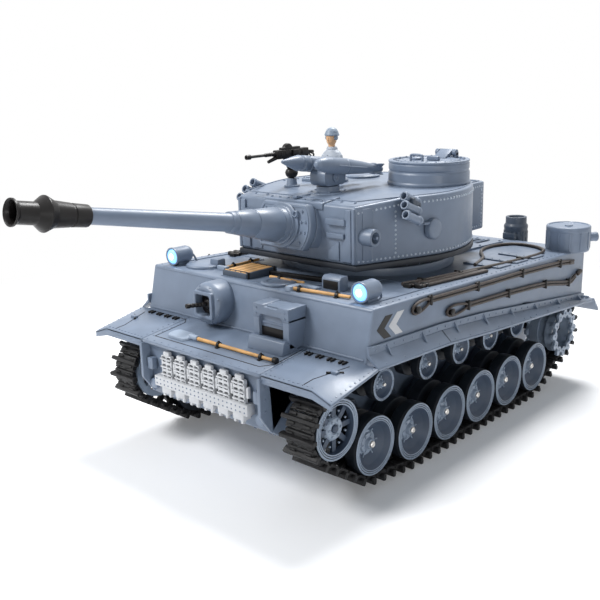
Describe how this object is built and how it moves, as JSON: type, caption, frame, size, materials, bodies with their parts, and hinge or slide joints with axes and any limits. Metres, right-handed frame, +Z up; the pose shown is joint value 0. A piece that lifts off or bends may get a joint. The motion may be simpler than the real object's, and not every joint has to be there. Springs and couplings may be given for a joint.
{
  "type": "rc tank",
  "caption": "Toy battle tank with a turning turret, raised gun, linked tracks on spring-arm road wheels, crew figure, roof weapons, tow cables and stowage bin.",
  "frame": {"origin": "on the ground, in the middle of the overall length and width, gun included", "axes": "+Z up, -Y the way the tank and its gun face, +X the tank's left side"},
  "size_m": [0.1744, 0.3662, 0.1685],
  "materials": {
    "hull_plastic": "satin painted blue grey",
    "wheel_set": "satin grey rim with black tyre bands",
    "wheel_plastic": "satin blue grey",
    "track_plastic": "dull black",
    "white_plastic": "satin white",
    "lamp_lens": "clear, lit bluish white",
    "cable_plastic": "dull brown with black clips",
    "tool_plastic": "orange handles, grey heads",
    "battery_wrap": "shrink wrap",
    "circuit_board": "green board",
    "gearbox_plastic": "black",
    "black_plastic": "satin black",
    "figure_plastic": "painted figure"
  },
  "bodies": {
    "hull": {"lower_hull": "hull_plastic", "upper_hull": "hull_plastic", "engine_deck": "hull_plastic", "fenders": "hull_plastic", "front_mudguards": "hull_plastic", "suspension_arms": "black_plastic", "left_track": "track_plastic", "right_track": "track_plastic", "spare_link_rack": "white_plastic", "headlight_housings": "hull_plastic", "headlight_lenses": "lamp_lens", "driver_visor": "hull_plastic", "hull_machine_gun": "hull_plastic", "tow_cables": "cable_plastic", "deck_tools": "tool_plastic", "exhausts": "hull_plastic", "air_cleaners": "hull_plastic", "battery_pack": "battery_wrap", "control_board": "circuit_board", "drive_gearboxes": "gearbox_plastic", "turret_motor": "gearbox_plastic"},
    "turret": {"turret_shell": "hull_plastic", "turret_base": "black_plastic", "stowage_bin": "hull_plastic", "smoke_launchers": "hull_plastic", "cupola": "hull_plastic", "crew_figure": "figure_plastic", "pod_pedestal": "hull_plastic"},
    "gun": {"mantlet": "hull_plastic", "gun_barrel": "hull_plastic", "muzzle_brake": "black_plastic"},
    "cupola_hatch": {"cupola_hatch": "hull_plastic"},
    "roof_machine_gun": {"roof_machine_gun": "black_plastic"},
    "weapon_pod": {"weapon_pod": "hull_plastic"},
    "left_drive_sprocket": {"left_drive_sprocket": "wheel_plastic"},
    "left_road_wheel_1": {"left_road_wheel_1": "wheel_set"},
    "left_road_wheel_2": {"left_road_wheel_2": "wheel_set"},
    "left_road_wheel_3": {"left_road_wheel_3": "wheel_set"},
    "left_road_wheel_4": {"left_road_wheel_4": "wheel_set"},
    "left_road_wheel_5": {"left_road_wheel_5": "wheel_set"},
    "left_road_wheel_6": {"left_road_wheel_6": "wheel_set"},
    "left_return_roller_1": {"left_return_roller_1": "wheel_set"},
    "left_return_roller_2": {"left_return_roller_2": "wheel_set"},
    "left_return_roller_3": {"left_return_roller_3": "wheel_set"},
    "left_return_roller_4": {"left_return_roller_4": "wheel_set"},
    "left_return_roller_5": {"left_return_roller_5": "wheel_set"},
    "left_idler": {"left_idler": "wheel_plastic"},
    "right_drive_sprocket": {"right_drive_sprocket": "wheel_plastic"},
    "right_road_wheel_1": {"right_road_wheel_1": "wheel_set"},
    "right_road_wheel_2": {"right_road_wheel_2": "wheel_set"},
    "right_road_wheel_3": {"right_road_wheel_3": "wheel_set"},
    "right_road_wheel_4": {"right_road_wheel_4": "wheel_set"},
    "right_road_wheel_5": {"right_road_wheel_5": "wheel_set"},
    "right_road_wheel_6": {"right_road_wheel_6": "wheel_set"},
    "right_return_roller_1": {"right_return_roller_1": "wheel_set"},
    "right_return_roller_2": {"right_return_roller_2": "wheel_set"},
    "right_return_roller_3": {"right_return_roller_3": "wheel_set"},
    "right_return_roller_4": {"right_return_roller_4": "wheel_set"},
    "right_return_roller_5": {"right_return_roller_5": "wheel_set"},
    "right_idler": {"right_idler": "wheel_plastic"}
  },
  "joints": [
    {"name": "turret_traverse", "type": "hinge", "parent": "hull", "child": "turret", "pos_m": [0, 0.0433, 0.1], "axis": [0, 0, 1], "range_deg": [-160, 160]},
    {"name": "gun_elevation", "type": "hinge", "parent": "turret", "child": "gun", "pos_m": [0, -0.0137, 0.1198], "axis": [-1, 0, 0], "range_deg": [-14, 2.5]},
    {"name": "cupola_hatch_hinge", "type": "hinge", "parent": "turret", "child": "cupola_hatch", "pos_m": [0.0275, 0.0847, 0.1524], "axis": [-1, 0, 0], "range_deg": [0, 100]},
    {"name": "roof_gun_swivel", "type": "hinge", "parent": "turret", "child": "roof_machine_gun", "pos_m": [-0.03, 0.0112, 0.1412], "axis": [0, 0, 1], "range_deg": [-45, 12]},
    {"name": "weapon_pod_swivel", "type": "hinge", "parent": "turret", "child": "weapon_pod", "pos_m": [0.002, 0.0063, 0.1396], "axis": [0, 0, 1], "range_deg": [-15, 8]},
    {"name": "left_sprocket_spin", "type": "hinge", "parent": "hull", "child": "left_drive_sprocket", "pos_m": [0.0655, 0.153, 0.0333], "axis": [1, 0, 0], "continuous": true},
    {"name": "left_road_wheel_1_spin", "type": "hinge", "parent": "hull", "child": "left_road_wheel_1", "pos_m": [0.0655, -0.0463, 0.0243], "axis": [1, 0, 0], "continuous": true},
    {"name": "left_road_wheel_2_spin", "type": "hinge", "parent": "hull", "child": "left_road_wheel_2", "pos_m": [0.0655, -0.0126, 0.0203], "axis": [1, 0, 0], "continuous": true},
    {"name": "left_road_wheel_3_spin", "type": "hinge", "parent": "hull", "child": "left_road_wheel_3", "pos_m": [0.0655, 0.0191, 0.0203], "axis": [1, 0, 0], "continuous": true},
    {"name": "left_road_wheel_4_spin", "type": "hinge", "parent": "hull", "child": "left_road_wheel_4", "pos_m": [0.0655, 0.0508, 0.0203], "axis": [1, 0, 0], "continuous": true},
    {"name": "left_road_wheel_5_spin", "type": "hinge", "parent": "hull", "child": "left_road_wheel_5", "pos_m": [0.0655, 0.0825, 0.0203], "axis": [1, 0, 0], "continuous": true},
    {"name": "left_road_wheel_6_spin", "type": "hinge", "parent": "hull", "child": "left_road_wheel_6", "pos_m": [0.0655, 0.1142, 0.0203], "axis": [1, 0, 0], "continuous": true},
    {"name": "left_return_roller_1_spin", "type": "hinge", "parent": "hull", "child": "left_return_roller_1", "pos_m": [0.0655, -0.0378, 0.053], "axis": [1, 0, 0], "continuous": true},
    {"name": "left_return_roller_2_spin", "type": "hinge", "parent": "hull", "child": "left_return_roller_2", "pos_m": [0.0655, 0.0003, 0.053], "axis": [1, 0, 0], "continuous": true},
    {"name": "left_return_roller_3_spin", "type": "hinge", "parent": "hull", "child": "left_return_roller_3", "pos_m": [0.0655, 0.0312, 0.053], "axis": [1, 0, 0], "continuous": true},
    {"name": "left_return_roller_4_spin", "type": "hinge", "parent": "hull", "child": "left_return_roller_4", "pos_m": [0.0655, 0.0621, 0.053], "axis": [1, 0, 0], "continuous": true},
    {"name": "left_return_roller_5_spin", "type": "hinge", "parent": "hull", "child": "left_return_roller_5", "pos_m": [0.0655, 0.093, 0.053], "axis": [1, 0, 0], "continuous": true},
    {"name": "left_idler_spin", "type": "hinge", "parent": "hull", "child": "left_idler", "pos_m": [0.0655, -0.0727, 0.041], "axis": [1, 0, 0], "continuous": true},
    {"name": "right_sprocket_spin", "type": "hinge", "parent": "hull", "child": "right_drive_sprocket", "pos_m": [-0.0655, 0.153, 0.0333], "axis": [1, 0, 0], "continuous": true},
    {"name": "right_road_wheel_1_spin", "type": "hinge", "parent": "hull", "child": "right_road_wheel_1", "pos_m": [-0.0655, -0.0463, 0.0243], "axis": [1, 0, 0], "continuous": true},
    {"name": "right_road_wheel_2_spin", "type": "hinge", "parent": "hull", "child": "right_road_wheel_2", "pos_m": [-0.0655, -0.0126, 0.0203], "axis": [1, 0, 0], "continuous": true},
    {"name": "right_road_wheel_3_spin", "type": "hinge", "parent": "hull", "child": "right_road_wheel_3", "pos_m": [-0.0655, 0.0191, 0.0203], "axis": [1, 0, 0], "continuous": true},
    {"name": "right_road_wheel_4_spin", "type": "hinge", "parent": "hull", "child": "right_road_wheel_4", "pos_m": [-0.0655, 0.0508, 0.0203], "axis": [1, 0, 0], "continuous": true},
    {"name": "right_road_wheel_5_spin", "type": "hinge", "parent": "hull", "child": "right_road_wheel_5", "pos_m": [-0.0655, 0.0825, 0.0203], "axis": [1, 0, 0], "continuous": true},
    {"name": "right_road_wheel_6_spin", "type": "hinge", "parent": "hull", "child": "right_road_wheel_6", "pos_m": [-0.0655, 0.1142, 0.0203], "axis": [1, 0, 0], "continuous": true},
    {"name": "right_return_roller_1_spin", "type": "hinge", "parent": "hull", "child": "right_return_roller_1", "pos_m": [-0.0655, -0.0378, 0.053], "axis": [1, 0, 0], "continuous": true},
    {"name": "right_return_roller_2_spin", "type": "hinge", "parent": "hull", "child": "right_return_roller_2", "pos_m": [-0.0655, 0.0003, 0.053], "axis": [1, 0, 0], "continuous": true},
    {"name": "right_return_roller_3_spin", "type": "hinge", "parent": "hull", "child": "right_return_roller_3", "pos_m": [-0.0655, 0.0312, 0.053], "axis": [1, 0, 0], "continuous": true},
    {"name": "right_return_roller_4_spin", "type": "hinge", "parent": "hull", "child": "right_return_roller_4", "pos_m": [-0.0655, 0.0621, 0.053], "axis": [1, 0, 0], "continuous": true},
    {"name": "right_return_roller_5_spin", "type": "hinge", "parent": "hull", "child": "right_return_roller_5", "pos_m": [-0.0655, 0.093, 0.053], "axis": [1, 0, 0], "continuous": true},
    {"name": "right_idler_spin", "type": "hinge", "parent": "hull", "child": "right_idler", "pos_m": [-0.0655, -0.0727, 0.041], "axis": [1, 0, 0], "continuous": true}
  ],
  "couplings": [
    {"joint": "left_road_wheel_1_spin", "follows": "left_sprocket_spin", "ratio": 1.0101},
    {"joint": "left_road_wheel_2_spin", "follows": "left_sprocket_spin", "ratio": 1.0101},
    {"joint": "left_road_wheel_3_spin", "follows": "left_sprocket_spin", "ratio": 1.0101},
    {"joint": "left_road_wheel_4_spin", "follows": "left_sprocket_spin", "ratio": 1.0101},
    {"joint": "left_road_wheel_5_spin", "follows": "left_sprocket_spin", "ratio": 1.0101},
    {"joint": "left_road_wheel_6_spin", "follows": "left_sprocket_spin", "ratio": 1.0101},
    {"joint": "left_return_roller_1_spin", "follows": "left_sprocket_spin", "ratio": 1.8182},
    {"joint": "left_return_roller_2_spin", "follows": "left_sprocket_spin", "ratio": 1.8182},
    {"joint": "left_return_roller_3_spin", "follows": "left_sprocket_spin", "ratio": 1.8182},
    {"joint": "left_return_roller_4_spin", "follows": "left_sprocket_spin", "ratio": 1.8182},
    {"joint": "left_return_roller_5_spin", "follows": "left_sprocket_spin", "ratio": 1.8182},
    {"joint": "left_idler_spin", "follows": "left_sprocket_spin", "ratio": 0.9282},
    {"joint": "right_road_wheel_1_spin", "follows": "right_sprocket_spin", "ratio": 1.0101},
    {"joint": "right_road_wheel_2_spin", "follows": "right_sprocket_spin", "ratio": 1.0101},
    {"joint": "right_road_wheel_3_spin", "follows": "right_sprocket_spin", "ratio": 1.0101},
    {"joint": "right_road_wheel_4_spin", "follows": "right_sprocket_spin", "ratio": 1.0101},
    {"joint": "right_road_wheel_5_spin", "follows": "right_sprocket_spin", "ratio": 1.0101},
    {"joint": "right_road_wheel_6_spin", "follows": "right_sprocket_spin", "ratio": 1.0101},
    {"joint": "right_return_roller_1_spin", "follows": "right_sprocket_spin", "ratio": 1.8182},
    {"joint": "right_return_roller_2_spin", "follows": "right_sprocket_spin", "ratio": 1.8182},
    {"joint": "right_return_roller_3_spin", "follows": "right_sprocket_spin", "ratio": 1.8182},
    {"joint": "right_return_roller_4_spin", "follows": "right_sprocket_spin", "ratio": 1.8182},
    {"joint": "right_return_roller_5_spin", "follows": "right_sprocket_spin", "ratio": 1.8182},
    {"joint": "right_idler_spin", "follows": "right_sprocket_spin", "ratio": 0.9282}
  ]
}
